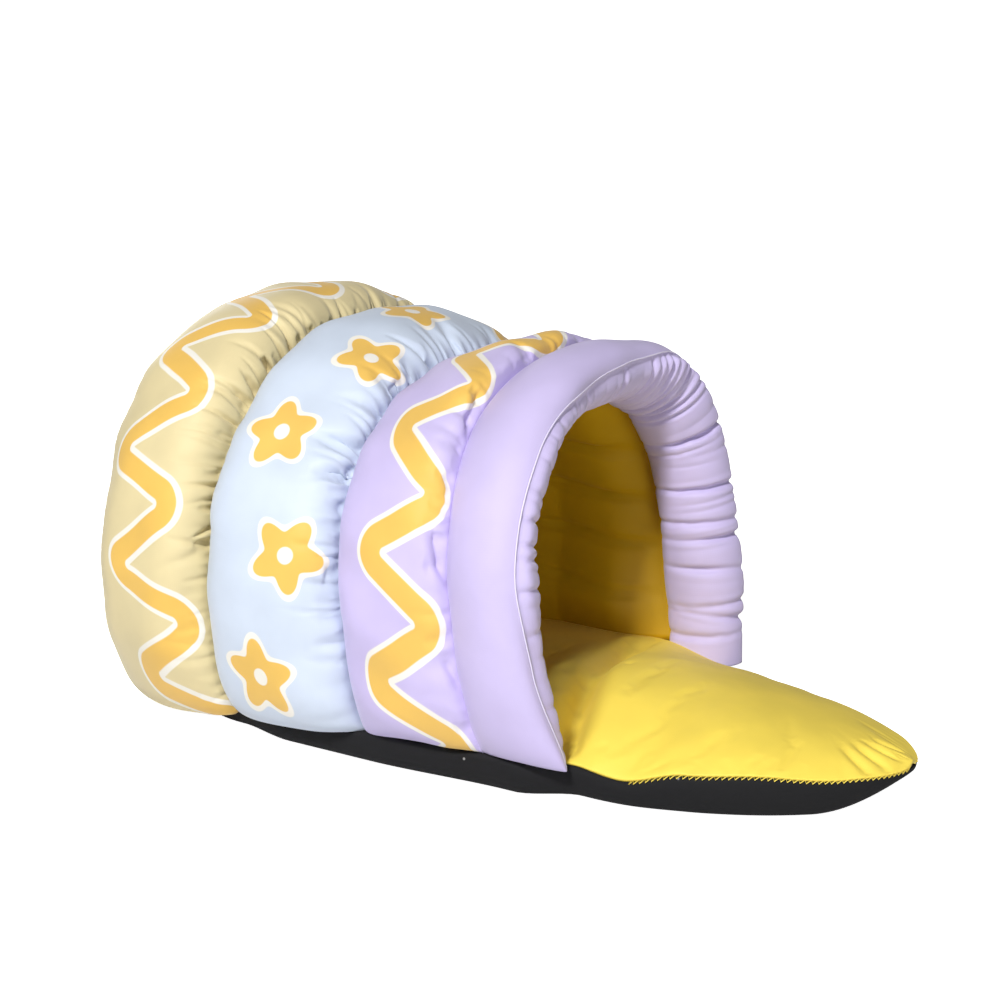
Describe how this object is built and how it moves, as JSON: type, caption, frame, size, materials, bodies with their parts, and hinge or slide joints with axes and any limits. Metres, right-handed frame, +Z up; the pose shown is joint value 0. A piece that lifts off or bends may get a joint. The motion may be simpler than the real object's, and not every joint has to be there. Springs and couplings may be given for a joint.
{
  "type": "dog cave bed",
  "caption": "Soft tunnel-shaped pet bed of stuffed, gathered cloth bands, with a rolled rim round its mouth and a padded floor that runs out in front as a rounded tongue.",
  "frame": {"origin": "on the floor, under the middle of the bed's bounding box", "axes": "+Z up, -Y out of the mouth along the tongue, +X to the right of someone looking into the mouth"},
  "size_m": [0.4502, 0.6907, 0.3498],
  "materials": {
    "pale_yellow_cloth": "smooth brushed polyester, pale yellow with a printed wavy stripe",
    "blue_cloth": "smooth brushed polyester, pale blue with printed motifs",
    "lilac_cloth": "smooth brushed polyester, pale lilac",
    "lining_cloth": "smooth brushed polyester, strong yellow",
    "pad_cloth": "smooth brushed polyester, strong yellow",
    "base_cloth": "matt woven non-slip cloth, near black"
  },
  "bodies": {
    "root": {"front_band": "lilac_cloth", "middle_band": "blue_cloth", "rear_band": "pale_yellow_cloth", "rim_roll": "lilac_cloth", "lining": "lining_cloth", "back_panel": "pale_yellow_cloth", "floor_pad": "pad_cloth", "base": "base_cloth"}
  },
  "joints": []
}
